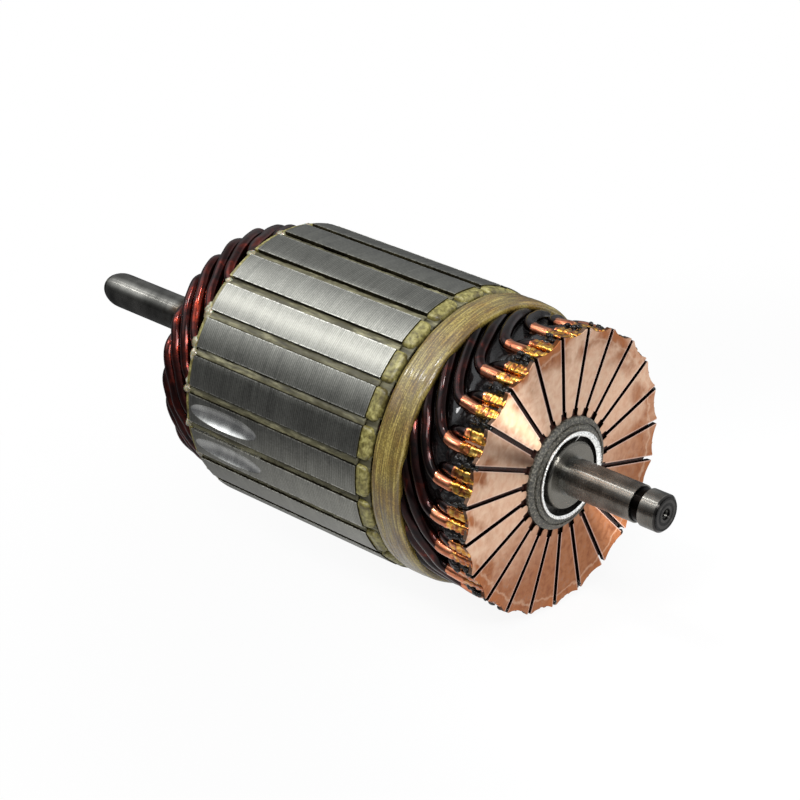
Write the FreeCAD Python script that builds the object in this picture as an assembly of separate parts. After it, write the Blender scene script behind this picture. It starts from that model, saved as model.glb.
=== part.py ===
"""Motor armature with a face commutator, a hairpin winding and two plain journals.

Millimetres. The shaft lies along X and the commutator faces +X, +Z is up, and the
origin is on the shaft's axis at the middle of the laminated core. Angles are
measured about X, from +Y towards +Z.
"""
import FreeCAD, Part
import math
import os

from FreeCAD import Vector

# Winding
SLOT_COUNT = 23
SLOT_PHASE = -90.0
WIRE_DIAMETER = 2.65
WIRE_CLEARANCE = 0.05
LAYER_GAP = 0.2
LINER_WALL = 0.3
COIL_SPAN_SLOTS = 6
OUTER_LEAD_PITCHES = 3.5
INNER_LEAD_PITCHES = 2.5

# Laminated core
CORE_DIAMETER = 62.0
CORE_LENGTH = 48.0
TOOTH_TIP_DEPTH = 1.25
SLOT_OPENING = 1.9
SEAT_DIAMETER = 14.5

# Balancing cuts, milled with a round-edged wheel
BALANCE_CUT_TEETH = (17, 18)
BALANCE_CUT_DEPTH = 1.25
BALANCE_CUT_CENTRE_FROM_END = 10.3
BALANCE_WHEEL_RADIUS = 40.0
BALANCE_WHEEL_EDGE = 3.0

# End insulators
DRIVE_INSULATOR_THICKNESS = 1.0
COMMUTATOR_INSULATOR_THICKNESS = 2.8
INSULATOR_STEP_BELOW_CORE = 0.35
PAD_OPENING = 2.7
PAD_FRONT_ROUND = 0.7
PAD_CORNER_ROUND = 1.3
LINER_PROUD = 0.1

# End windings
LEAD_STRAIGHT = 1.9
DRIVE_STRAIGHT = 2.1
DRIVE_BASKET_LENGTH = 13.0
OUTER_NOSE_DROP = 2.2
INNER_NOSE_DROP = 2.8
NOSE_HALF_WIDTH_DEG = 1.8
BEND_RADIUS = 3.5
LEAD_BEND_FROM_FACE = 11.5
LEAD_SEAT_RUN_IN = 1.0
INNER_RISE_LENGTH = 4.5
INNER_LEAD_DROP = 0.2
LEAN_RUNS = 4
BASKET_RUNS = 3

# Banding ring over the outer leads
RING_CLEARANCE = 0.12
RING_THICKNESS = 1.0
RING_WIDTH = 7.3
RING_GAP = 0.8
RING_CROWN_FLAT = 3.6
RING_EDGE_DROP = 0.75

# Commutator
FACE_FROM_CORE = 28.8
COMMUTATOR_BELOW_CORE = 0.6
BAR_THICKNESS = 5.8
BAR_LIP_THICKNESS = 1.0
BAR_SEAT_STEP = 2.2
LIP_DIP = 0.95
SLIT_WIDTH = 1.0
SLIT_DEPTH = 0.8
WIRE_ABOVE_SEAT = 0.55
WIRE_PAIR_GAP = 0.3
WIRE_SEAT_CLEARANCE = 0.02
HUB_DIAMETER = 24.0
BAR_TIP_ROUND = 0.7
BAR_NOTCH_LENGTH = 1.7
BAR_NOTCH_WIDTH = 1.7
BAR_TANG_INNER_RADIUS = 15.0
BAR_TANG_OUTER_RADIUS = 19.0
BAR_TANG_LENGTH = 2.0
MOULDING_BACK_RADIUS = 22.0
MOULDING_BACK_LENGTH = 4.5
HUB_STEP = 0.4
HUB_PROUD = 1.2
HUB_RIM_DROP = 0.2
HUB_GROOVE_RADIUS = 10.65
HUB_GROOVE_WIDTH = 0.5
HUB_GROOVE_DEPTH = 0.5

# Steel bush of the commutator
BUSH_DIAMETER = 18.6
BUSH_PROUD = 1.6
BUSH_RIM = 0.5
BUSH_RECESS_DEPTH = 1.8

# Shaft
SHOULDER_PROUD = 1.9
SHOULDER_ROUND = 0.6
COMMUTATOR_JOURNAL_DIAMETER = 8.0
COMMUTATOR_JOURNAL_END_FROM_FACE = 19.0
UNDERCUT_LENGTH = 0.8
UNDERCUT_DEPTH = 0.4
GROOVE_WIDTH = 2.1
GROOVE_DEPTH = 0.5
TIP_COLLAR_LENGTH = 4.2
TIP_CHAMFER = 0.5
CENTRE_HOLE_RADIUS = 1.25
CENTRE_HOLE_DEPTH = 2.4
DRIVE_JOURNAL_DIAMETER = 8.0
DRIVE_STEP_FROM_CORE = 19.0
DRIVE_STEP_CHAMFER = 1.5
DRIVE_JOURNAL_END_FROM_CORE = 54.2
DRIVE_DOME_LENGTH = 5.8
DRIVE_DOME_FLAT_DEG = 75.0

# Places that follow from the sizes above
PITCH = 360.0 / SLOT_COUNT
CORE_RADIUS = CORE_DIAMETER / 2
CORE_END = CORE_LENGTH / 2
SEAT_RADIUS = SEAT_DIAMETER / 2
WIRE_RADIUS = WIRE_DIAMETER / 2
WIRE_WALL = WIRE_RADIUS + WIRE_CLEARANCE + LINER_WALL
SLOT_WIDTH = 2 * WIRE_WALL
SLOT_TOP = CORE_RADIUS - TOOTH_TIP_DEPTH
OUTER_LAYER = SLOT_TOP - WIRE_WALL
INNER_LAYER = OUTER_LAYER - WIRE_DIAMETER - LAYER_GAP
SLOT_BOTTOM = INNER_LAYER - WIRE_WALL
INSULATOR_RADIUS = CORE_RADIUS - INSULATOR_STEP_BELOW_CORE
PADS_END = CORE_END + COMMUTATOR_INSULATOR_THICKNESS
DRIVE_INSULATOR_END = -CORE_END - DRIVE_INSULATOR_THICKNESS
RING_START = PADS_END + RING_GAP
FACE_X = CORE_END + FACE_FROM_CORE
LIP_BACK = FACE_X - BAR_LIP_THICKNESS
BAR_BACK = FACE_X - BAR_THICKNESS
LIP_RADIUS = CORE_RADIUS - COMMUTATOR_BELOW_CORE
BAR_SEAT_RADIUS = LIP_RADIUS - BAR_SEAT_STEP
WIRE_SEAT_RADIUS = BAR_SEAT_RADIUS + WIRE_ABOVE_SEAT
PAIR_HALF_ANGLE = math.degrees(math.asin((WIRE_RADIUS + WIRE_PAIR_GAP / 2) / WIRE_SEAT_RADIUS))
HUB_RADIUS = HUB_DIAMETER / 2
BUSH_RADIUS = BUSH_DIAMETER / 2
MOULDING_BACK = BAR_BACK - MOULDING_BACK_LENGTH

ORIGIN = Vector(0, 0, 0)
X_AXIS = Vector(1, 0, 0)


def polar(x, radius, angle):
    """Point at x, at a radius from the shaft's axis and an angle about it."""
    a = math.radians(angle)
    return Vector(x, radius * math.cos(a), radius * math.sin(a))


def spin(shape, angle):
    """Copy of a shape turned about the shaft's axis."""
    return shape.rotated(ORIGIN, X_AXIS, angle)


def turned(edges):
    """Solid of revolution about X of the area that the edges close in the XY plane."""
    face = Part.Face(Part.Wire(edges))
    return face.revolve(ORIGIN, X_AXIS, 360)


def turned_points(points):
    """Solid of revolution about X of a polygon of (x, radius) points."""
    corners = [Vector(x, r, 0) for x, r in points]
    return turned(Part.makePolygon(corners + corners[:1]).Edges)


def tube(x_start, x_end, inner, outer):
    """Plain ring between two radii."""
    return turned_points([(x_start, inner), (x_end, inner), (x_end, outer), (x_start, outer)])


def prism(x_start, x_end, outline):
    """Prism along X of an outline of (radial, tangential) points, pointing along +Y."""
    corners = [Vector(x_start, u, v) for u, v in outline]
    face = Part.Face(Part.makePolygon(corners + corners[:1]))
    return face.extrude(Vector(x_end - x_start, 0, 0))


def slot_cutters(x_start, x_end, opening):
    """One cutter for each slot: a parallel-sided body with a narrower mouth."""
    half = SLOT_WIDTH / 2
    mouth = opening / 2
    beyond = CORE_RADIUS + 1
    outline = [
        (SLOT_BOTTOM, -half), (SLOT_TOP, -half), (SLOT_TOP, -mouth), (beyond, -mouth),
        (beyond, mouth), (SLOT_TOP, mouth), (SLOT_TOP, half), (SLOT_BOTTOM, half),
    ]
    cutter = prism(x_start, x_end, outline)
    return [spin(cutter, SLOT_PHASE + k * PITCH) for k in range(SLOT_COUNT)]


def balance_cutter(tooth):
    """Round-edged wheel that dips into one tooth near the drive end."""
    ring_radius = BALANCE_WHEEL_RADIUS - BALANCE_WHEEL_EDGE
    x = -CORE_END + BALANCE_CUT_CENTRE_FROM_END
    height = CORE_RADIUS - BALANCE_CUT_DEPTH + BALANCE_WHEEL_RADIUS
    wheel = Part.makeTorus(ring_radius, BALANCE_WHEEL_EDGE, Vector(x, height, 0), Vector(0, 0, 1))
    return spin(wheel, SLOT_PHASE + (tooth + 0.5) * PITCH)


def core_laminations():
    """Stack of slotted steel laminations, ground outside and balanced by milling."""
    stack = tube(-CORE_END, CORE_END, SEAT_RADIUS, CORE_RADIUS)
    slotted = stack.cut(slot_cutters(-CORE_END - 1, CORE_END + 1, SLOT_OPENING))
    return slotted.cut([balance_cutter(tooth) for tooth in BALANCE_CUT_TEETH])


def drive_end_insulator():
    """Thin fibre end plate with the core's slots."""
    plate = tube(DRIVE_INSULATOR_END, -CORE_END, SEAT_RADIUS, INSULATOR_RADIUS)
    return plate.cut(slot_cutters(DRIVE_INSULATOR_END - 1, -CORE_END + 1, SLOT_OPENING))


def pad_corner_cutter():
    """Prism along +Y that opens one slot mouth at the front, with a rounded pad corner each side."""
    half = PAD_OPENING / 2
    reach = PAD_CORNER_ROUND * (1 - math.sqrt(0.5))
    start = PADS_END - PAD_CORNER_ROUND
    right = Vector(start, SLOT_TOP, half)
    right_middle = Vector(PADS_END - reach, SLOT_TOP, half + reach)
    right_end = Vector(PADS_END, SLOT_TOP, half + PAD_CORNER_ROUND)
    left = Vector(start, SLOT_TOP, -half)
    left_middle = Vector(PADS_END - reach, SLOT_TOP, -half - reach)
    left_end = Vector(PADS_END, SLOT_TOP, -half - PAD_CORNER_ROUND)
    edges = [
        Part.Arc(right, right_middle, right_end).toShape(),
        Part.LineSegment(right_end, left_end).toShape(),
        Part.Arc(left_end, left_middle, left).toShape(),
        Part.LineSegment(left, right).toShape(),
    ]
    return Part.Face(Part.Wire(edges)).extrude(Vector(0, CORE_RADIUS, 0))


def commutator_end_insulator():
    """Thick end plate whose teeth end in one rounded pad each."""
    side = PAD_FRONT_ROUND * (1 - math.sqrt(0.5))
    rim = Vector(PADS_END - PAD_FRONT_ROUND, INSULATOR_RADIUS, 0)
    rim_middle = Vector(PADS_END - side, INSULATOR_RADIUS - side, 0)
    rim_end = Vector(PADS_END, INSULATOR_RADIUS - PAD_FRONT_ROUND, 0)
    edges = [Part.Arc(rim, rim_middle, rim_end).toShape()]
    edges += Part.makePolygon([
        rim_end, Vector(PADS_END, SEAT_RADIUS, 0), Vector(CORE_END, SEAT_RADIUS, 0),
        Vector(CORE_END, INSULATOR_RADIUS, 0), rim]).Edges
    plate = turned(edges).cut(slot_cutters(CORE_END - 1, PADS_END + 1, PAD_OPENING))
    corner = pad_corner_cutter()
    return plate.cut([spin(corner, SLOT_PHASE + k * PITCH) for k in range(SLOT_COUNT)])


def slot_liners():
    """Folded fibre liners, one closed box in each slot, a little longer than the core."""
    x_start = DRIVE_INSULATOR_END - LINER_PROUD
    x_end = PADS_END + LINER_PROUD
    half = SLOT_WIDTH / 2
    outer = prism(x_start, x_end, [
        (SLOT_BOTTOM, -half), (SLOT_TOP, -half), (SLOT_TOP, half), (SLOT_BOTTOM, half)])
    low = SLOT_BOTTOM + LINER_WALL
    high = SLOT_TOP - LINER_WALL
    clear = half - LINER_WALL
    inner = prism(x_start - 1, x_end + 1, [
        (low, -clear), (high, -clear), (high, clear), (low, clear)])
    liner = outer.cut(inner)
    return Part.makeCompound([spin(liner, SLOT_PHASE + k * PITCH) for k in range(SLOT_COUNT)])


def cone_run(start, end, runs):
    """Corner points after the first of a helical run between two (x, radius, angle) points.

    The corners between stand out a little, so that the straight chords keep the mean radius.
    """
    half_step = math.radians(abs(end[2] - start[2]) / runs / 2)
    lift = 2 / (1 + math.cos(half_step))
    points = []
    for i in range(1, runs):
        t = i / runs
        x, radius, angle = (a + (b - a) * t for a, b in zip(start, end))
        points.append((x, radius * lift, angle))
    points.append(end)
    return points


def coil_corners():
    """Corners of one hairpin, from its outer lead's end to its inner lead's end.

    The outer leg lies in the slot at angle 0. It turns back towards smaller angles at
    the drive end and returns by the inner layer of the slot one coil span away.
    """
    outer_bar = OUTER_LEAD_PITCHES * PITCH + PAIR_HALF_ANGLE
    inner_slot = -COIL_SPAN_SLOTS * PITCH
    inner_bar = inner_slot - INNER_LEAD_PITCHES * PITCH - PAIR_HALF_ANGLE
    lead_bend = FACE_X - LEAD_BEND_FROM_FACE
    seat_start = BAR_BACK - LEAD_SEAT_RUN_IN
    front_exit = PADS_END + LEAD_STRAIGHT
    back_exit = DRIVE_INSULATOR_END - DRIVE_STRAIGHT
    nose = -CORE_END - DRIVE_BASKET_LENGTH
    outer_nose = (nose, OUTER_LAYER - OUTER_NOSE_DROP, inner_slot / 2 + NOSE_HALF_WIDTH_DEG)
    inner_nose = (nose, INNER_LAYER - INNER_NOSE_DROP, inner_slot / 2 - NOSE_HALF_WIDTH_DEG)
    points = [(LIP_BACK, WIRE_SEAT_RADIUS, outer_bar), (seat_start, WIRE_SEAT_RADIUS, outer_bar)]
    points.append((lead_bend, OUTER_LAYER, outer_bar))
    points += cone_run(points[-1], (front_exit, OUTER_LAYER, 0), LEAN_RUNS)
    points.append((back_exit, OUTER_LAYER, 0))
    points += cone_run(points[-1], outer_nose, BASKET_RUNS)
    points.append(inner_nose)
    points += cone_run(points[-1], (back_exit, INNER_LAYER, inner_slot), BASKET_RUNS)
    points.append((front_exit, INNER_LAYER, inner_slot))
    inner_bend = (lead_bend, INNER_LAYER - INNER_LEAD_DROP, inner_bar)
    points += cone_run(points[-1], inner_bend, LEAN_RUNS)
    points.append((lead_bend + INNER_RISE_LENGTH, WIRE_SEAT_RADIUS, inner_bar))
    points.append((LIP_BACK, WIRE_SEAT_RADIUS, inner_bar))
    return [polar(*p) for p in points]


def rounded_path(corners, bend):
    """Wire of straight runs joined by tangent arcs, at most of the given radius."""
    edges = []
    start = corners[0]
    for before, corner, after in zip(corners, corners[1:], corners[2:]):
        back = (before - corner).normalize()
        ahead = (after - corner).normalize()
        half_angle = back.getAngle(ahead) / 2
        reach = min((before - corner).Length, (after - corner).Length) * 0.47
        cut = min(bend / math.tan(half_angle), reach)
        radius = cut * math.tan(half_angle)
        bisector = (back + ahead).normalize()
        middle = corner + bisector * (radius / math.sin(half_angle) - radius)
        first = corner + back * cut
        last = corner + ahead * cut
        edges.append(Part.LineSegment(start, first).toShape())
        edges.append(Part.Arc(first, middle, last).toShape())
        start = last
    edges.append(Part.LineSegment(start, corners[-1]).toShape())
    return Part.Wire(edges)


def coil():
    """One hairpin coil of round enamelled wire, with its outer leg at angle 0."""
    corners = coil_corners()
    path = rounded_path(corners, BEND_RADIUS)
    direction = corners[1] - corners[0]
    section = Part.Wire(Part.makeCircle(WIRE_RADIUS, corners[0], direction))
    return path.makePipeShell([section], True, False)


def banding_ring():
    """Resin and glass band, crowned outside, that holds the outer leads down."""
    inner = OUTER_LAYER + WIRE_RADIUS + RING_CLEARANCE
    crown = inner + RING_THICKNESS
    edge = crown - RING_EDGE_DROP
    start = RING_START
    end = RING_START + RING_WIDTH
    shoulder = (RING_WIDTH - RING_CROWN_FLAT) / 2
    side = shoulder * (1 - math.sqrt(0.5))
    rise = RING_EDGE_DROP * math.sqrt(0.5)
    p = [Vector(start, inner, 0), Vector(start, edge, 0), Vector(start + shoulder, crown, 0),
         Vector(end - shoulder, crown, 0), Vector(end, edge, 0), Vector(end, inner, 0)]
    edges = [
        Part.LineSegment(p[0], p[1]).toShape(),
        Part.Arc(p[1], Vector(start + side, edge + rise, 0), p[2]).toShape(),
        Part.LineSegment(p[2], p[3]).toShape(),
        Part.Arc(p[3], Vector(end - side, edge + rise, 0), p[4]).toShape(),
        Part.LineSegment(p[4], p[5]).toShape(),
        Part.LineSegment(p[5], p[0]).toShape(),
    ]
    return turned(edges)


def wire_seat(side):
    """Round seat that one wire end lies in, on the bar that points along +Y."""
    radius = WIRE_RADIUS + WIRE_SEAT_CLEARANCE
    start = polar(BAR_BACK - 1, WIRE_SEAT_RADIUS, side * PAIR_HALF_ANGLE)
    return Part.makeCylinder(radius, LIP_BACK - BAR_BACK + 1, start, X_AXIS)


def commutator_bar():
    """One copper bar, pointing along +Y: a sector with a scalloped lip and a buried tang."""
    section = turned_points([
        (FACE_X, HUB_RADIUS), (FACE_X, LIP_RADIUS), (LIP_BACK, LIP_RADIUS),
        (LIP_BACK, BAR_SEAT_RADIUS), (BAR_BACK, BAR_SEAT_RADIUS),
        (BAR_BACK, BAR_TANG_OUTER_RADIUS), (BAR_BACK - BAR_TANG_LENGTH, BAR_TANG_OUTER_RADIUS),
        (BAR_BACK - BAR_TANG_LENGTH, BAR_TANG_INNER_RADIUS), (BAR_BACK, BAR_TANG_INNER_RADIUS),
        (BAR_BACK, HUB_RADIUS)])
    half_pitch = math.radians(PITCH / 2)
    apex = SLIT_WIDTH / 2 / math.sin(half_pitch)
    far = 2 * LIP_RADIUS
    spread = (far - apex) * math.tan(half_pitch)
    wedge = prism(BAR_BACK - BAR_TANG_LENGTH - 1, FACE_X + 1, [
        (apex, 0), (far, -spread), (far, spread)])
    bar = section.common(wedge)
    scallop_half = LIP_RADIUS * math.sin(half_pitch) - SLIT_WIDTH / 2
    scallop_radius = (scallop_half ** 2 + LIP_DIP ** 2) / (2 * LIP_DIP)
    scallop_centre = Vector(LIP_BACK, LIP_RADIUS - LIP_DIP + scallop_radius, 0)
    scallop = Part.makeCylinder(scallop_radius, BAR_LIP_THICKNESS, scallop_centre, X_AXIS)
    bar = bar.cut([wire_seat(1), wire_seat(-1), scallop])
    return round_bar_tip(bar.cut([bar_notch(1), bar_notch(-1)]))


def bar_notch(side):
    """Undercut beside the slit that keys one corner of a bar's inner end into the resin."""
    half = BAR_NOTCH_WIDTH / 2
    inner = HUB_RADIUS - BAR_NOTCH_LENGTH
    outer = HUB_RADIUS + BAR_NOTCH_LENGTH
    notch = prism(BAR_BACK - 1, FACE_X + 1, [
        (inner, -half), (outer, -half), (outer, half), (inner, half)])
    return spin(notch, side * PITCH / 2)


def round_bar_tip(bar):
    """The bar with the two corners of its inner end rounded."""
    tip_edges = []
    for edge in bar.Edges:
        ends = [v.Point for v in edge.Vertexes]
        along_x = len(ends) == 2 and abs(ends[0].x - ends[1].x) > BAR_THICKNESS / 2
        if along_x and all(math.hypot(p.y, p.z) < HUB_RADIUS + 0.02 for p in ends):
            tip_edges.append(edge)
    return bar.makeFillet(BAR_TIP_ROUND, tip_edges)


def commutator_bush():
    """Turned steel bush, pressed on the shaft, with a thin proud rim round a recess."""
    rim_x = FACE_X + BUSH_PROUD
    floor_x = rim_x - BUSH_RECESS_DEPTH
    rim_inner = BUSH_RADIUS - BUSH_RIM
    return turned_points([
        (MOULDING_BACK, SEAT_RADIUS), (floor_x, SEAT_RADIUS), (floor_x, rim_inner),
        (rim_x, rim_inner), (rim_x, BUSH_RADIUS), (MOULDING_BACK, BUSH_RADIUS)])


def commutator_moulding(bars):
    """Moulded resin body: hub, back plate and the ribs in the slits between the bars."""
    seats = [spin(wire_seat(side), SLOT_PHASE + (k + 0.5) * PITCH)
             for k in range(SLOT_COUNT) for side in (1, -1)]
    hub_side = FACE_X + HUB_STEP
    hub_top = FACE_X + HUB_PROUD
    groove_floor = hub_top - HUB_GROOVE_DEPTH
    half = HUB_GROOVE_WIDTH / 2
    body = turned_points([
        (MOULDING_BACK, BUSH_RADIUS), (hub_top, BUSH_RADIUS),
        (hub_top, HUB_GROOVE_RADIUS - half), (groove_floor, HUB_GROOVE_RADIUS - half / 2),
        (groove_floor, HUB_GROOVE_RADIUS + half / 2), (hub_top - HUB_RIM_DROP, HUB_GROOVE_RADIUS + half),
        (hub_side, HUB_RADIUS), (FACE_X - SLIT_DEPTH, HUB_RADIUS),
        (FACE_X - SLIT_DEPTH, BAR_SEAT_RADIUS), (BAR_BACK, BAR_SEAT_RADIUS),
        (BAR_BACK, MOULDING_BACK_RADIUS), (MOULDING_BACK, MOULDING_BACK_RADIUS)])
    return body.cut(bars + seats)


def shaft():
    """Turned and ground shaft: domed drive pin, core seat, shoulder, journal and tip collar."""
    drive = DRIVE_JOURNAL_DIAMETER / 2
    journal = COMMUTATOR_JOURNAL_DIAMETER / 2
    dome_start = -CORE_END - DRIVE_JOURNAL_END_FROM_CORE
    step = -CORE_END - DRIVE_STEP_FROM_CORE
    shoulder = FACE_X + SHOULDER_PROUD
    groove = FACE_X + COMMUTATOR_JOURNAL_END_FROM_FACE
    collar = groove + GROOVE_WIDTH
    tip = collar + TIP_COLLAR_LENGTH

    def dome(angle):
        a = math.radians(angle)
        return Vector(dome_start - DRIVE_DOME_LENGTH * math.sin(a), drive * math.cos(a), 0)

    flat = dome(DRIVE_DOME_FLAT_DEG)
    middle = dome(DRIVE_DOME_FLAT_DEG * 0.6)
    round_mid = SHOULDER_ROUND * (1 - math.sqrt(0.5))
    shoulder_bottom = Vector(shoulder - SHOULDER_ROUND, SEAT_RADIUS, 0)
    shoulder_middle = Vector(shoulder - round_mid, SEAT_RADIUS - round_mid, 0)
    shoulder_top = Vector(shoulder, SEAT_RADIUS - SHOULDER_ROUND, 0)
    edges = [
        Part.LineSegment(Vector(flat.x, 0, 0), flat).toShape(),
        Part.Arc(flat, dome(DRIVE_DOME_FLAT_DEG * 0.8), middle).toShape(),
        Part.Arc(middle, dome(DRIVE_DOME_FLAT_DEG * 0.3), dome(0)).toShape(),
    ]
    edges += Part.makePolygon([
        dome(0), Vector(step, drive, 0), Vector(step, SEAT_RADIUS - DRIVE_STEP_CHAMFER, 0),
        Vector(step + DRIVE_STEP_CHAMFER, SEAT_RADIUS, 0), shoulder_bottom]).Edges
    edges.append(Part.Arc(shoulder_bottom, shoulder_middle, shoulder_top).toShape())
    floor = journal - UNDERCUT_DEPTH
    groove_floor = journal - GROOVE_DEPTH
    edges += Part.makePolygon([
        shoulder_top, Vector(shoulder, floor, 0), Vector(shoulder + UNDERCUT_LENGTH, floor, 0),
        Vector(shoulder + UNDERCUT_LENGTH + UNDERCUT_DEPTH, journal, 0), Vector(groove, journal, 0),
        Vector(groove, groove_floor, 0), Vector(collar, groove_floor, 0), Vector(collar, journal, 0),
        Vector(tip - TIP_CHAMFER, journal, 0), Vector(tip, journal - TIP_CHAMFER, 0),
        Vector(tip, CENTRE_HOLE_RADIUS, 0), Vector(tip - CENTRE_HOLE_DEPTH, 0, 0),
        Vector(flat.x, 0, 0)]).Edges
    return turned(edges)


def export(shape, node):
    """Writes one node's STEP file."""
    shape.exportStep("parts/" + node + ".step")


def main():
    os.makedirs("parts", exist_ok=True)
    export(shaft(), "shaft")
    export(core_laminations(), "core_laminations")
    export(drive_end_insulator(), "drive_end_insulator")
    export(commutator_end_insulator(), "commutator_end_insulator")
    export(slot_liners(), "slot_liners")
    export(banding_ring(), "banding_ring")
    export(commutator_bush(), "commutator_bush")
    bar = commutator_bar()
    bars = [spin(bar, SLOT_PHASE + (k + 0.5) * PITCH) for k in range(SLOT_COUNT)]
    export(commutator_moulding(bars), "commutator_moulding")
    hairpin = coil()
    for k in range(SLOT_COUNT):
        export(bars[k], "commutator_bar_%02d" % (k + 1))
        export(spin(hairpin, SLOT_PHASE + k * PITCH), "coil_%02d" % (k + 1))


main()
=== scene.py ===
import math
import random

import bpy
import numpy as np
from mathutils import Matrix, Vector, noise


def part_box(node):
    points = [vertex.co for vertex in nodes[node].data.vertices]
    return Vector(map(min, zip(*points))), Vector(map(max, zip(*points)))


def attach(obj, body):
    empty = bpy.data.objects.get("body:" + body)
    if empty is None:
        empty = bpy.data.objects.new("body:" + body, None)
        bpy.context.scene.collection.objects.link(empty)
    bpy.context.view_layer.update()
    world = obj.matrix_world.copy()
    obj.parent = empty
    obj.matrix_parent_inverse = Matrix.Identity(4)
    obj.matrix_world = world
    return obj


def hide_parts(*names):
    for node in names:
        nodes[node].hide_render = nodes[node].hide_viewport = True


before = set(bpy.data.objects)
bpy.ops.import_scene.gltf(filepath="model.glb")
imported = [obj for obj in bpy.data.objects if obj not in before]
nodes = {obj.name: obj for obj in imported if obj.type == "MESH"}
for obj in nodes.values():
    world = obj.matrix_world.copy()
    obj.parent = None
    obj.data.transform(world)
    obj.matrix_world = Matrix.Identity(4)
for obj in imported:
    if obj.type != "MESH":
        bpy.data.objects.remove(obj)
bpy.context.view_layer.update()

# Millimetres and degrees, turned into metres where a mesh is made. X is the shaft, angles are
# about X from +Y towards +Z, and each slot and each commutator bar has a pitch of its own.
MM = 0.001
SLOT_COUNT = sum(name.startswith("commutator_bar_") for name in nodes)
PITCH = 360 / SLOT_COUNT
SLOT_PHASE = -90.0

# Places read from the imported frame
CORE_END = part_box("core_laminations")[1].x / MM
CORE_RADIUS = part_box("core_laminations")[1].z / MM
FACE_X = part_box("commutator_bar_01")[1].x / MM
RING_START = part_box("banding_ring")[0].x / MM
RING_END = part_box("banding_ring")[1].x / MM
RING_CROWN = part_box("banding_ring")[1].z / MM
PADS_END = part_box("commutator_end_insulator")[1].x / MM
DRIVE_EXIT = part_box("drive_end_insulator")[0].x / MM
BUSH_RIM_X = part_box("commutator_bush")[1].x / MM
BUSH_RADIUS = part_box("commutator_bush")[1].z / MM
NOSE_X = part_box("coil_01")[0].x / MM
TIP_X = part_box("shaft")[1].x / MM
SHAFT_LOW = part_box("shaft")[0].x / MM

# Winding
WIRE_RADIUS = 1.36
OUTER_LAYER = CORE_RADIUS - 2.925
INNER_LAYER = OUTER_LAYER - 2.85
SEAT_LAYER = OUTER_LAYER + 0.675
PAIR_HALF_ANGLE = 2.94
OUTER_LEAD_PITCHES = 3.5
INNER_LEAD_PITCHES = 2.5
COIL_SPAN_SLOTS = 6
LEAD_BEND = FACE_X - 11.5
INNER_RISE = 4.5
SEAT_START = FACE_X - 6.8
LEAD_EXIT = PADS_END + 1.9
DRIVE_BEND = DRIVE_EXIT - 2.1
NOSE_CENTRE = NOSE_X + 1.325
BARE_FROM = FACE_X - 9.8
FUSED_FROM = FACE_X - 5.4
WIRE_END = FACE_X - 0.12


def srgb(red, green, blue):
    """Linear colour of a 0 to 255 sRGB colour."""
    channels = []
    for value in (red, green, blue):
        c = value / 255
        channels.append(c / 12.92 if c <= 0.04045 else ((c + 0.055) / 1.055) ** 2.4)
    return (*channels, 1)


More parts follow.
